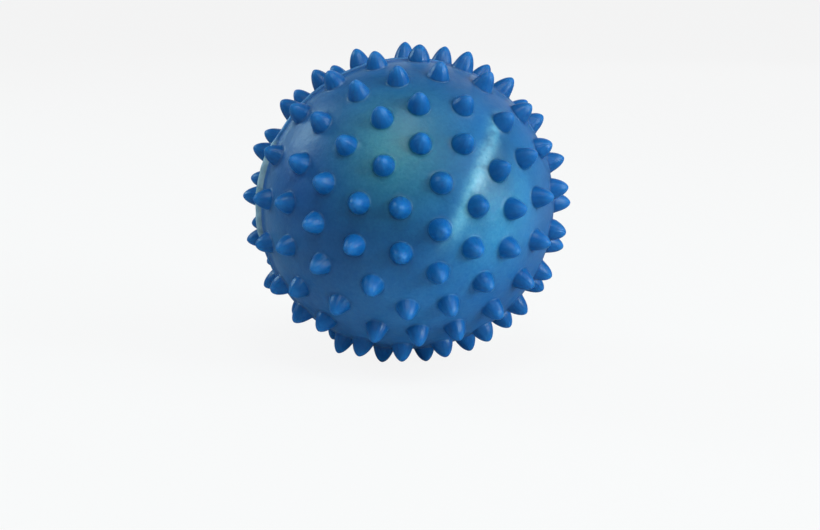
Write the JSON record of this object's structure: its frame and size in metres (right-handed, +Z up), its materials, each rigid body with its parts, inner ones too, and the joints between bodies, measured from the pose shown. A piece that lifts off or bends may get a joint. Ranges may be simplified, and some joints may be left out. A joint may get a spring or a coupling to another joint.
{
  "type": "spiky massage ball",
  "caption": "Soft hollow massage ball: two spiked half shells joined at a seam bead, with a bonded valve seat and a removable self-closing stopper.",
  "frame": {"origin": "centre of the ball", "axes": "+Z up; the mould axis lies along Y, with the front half on -Y and the valve at the rear pole on +Y"},
  "size_m": [0.0886, 0.0883, 0.0886],
  "materials": {
    "shell": "soft translucent blue PVC, satin gloss",
    "seam": "soft translucent blue PVC, slightly paler weld bead",
    "valve_seat": "thick soft blue bush, satin",
    "stopper": "off-white self-closing rubber, matt"
  },
  "bodies": {
    "ball": {"front_half_shell": "shell", "rear_half_shell": "shell", "seam_weld": "seam", "valve_seat": "valve_seat"},
    "stopper": {"valve_stopper": "stopper"}
  },
  "joints": [
    {"name": "valve_stopper_pull", "type": "slide", "parent": "ball", "child": "stopper", "axis": [0, 1, 0], "range_m": [0, 0.018]}
  ]
}
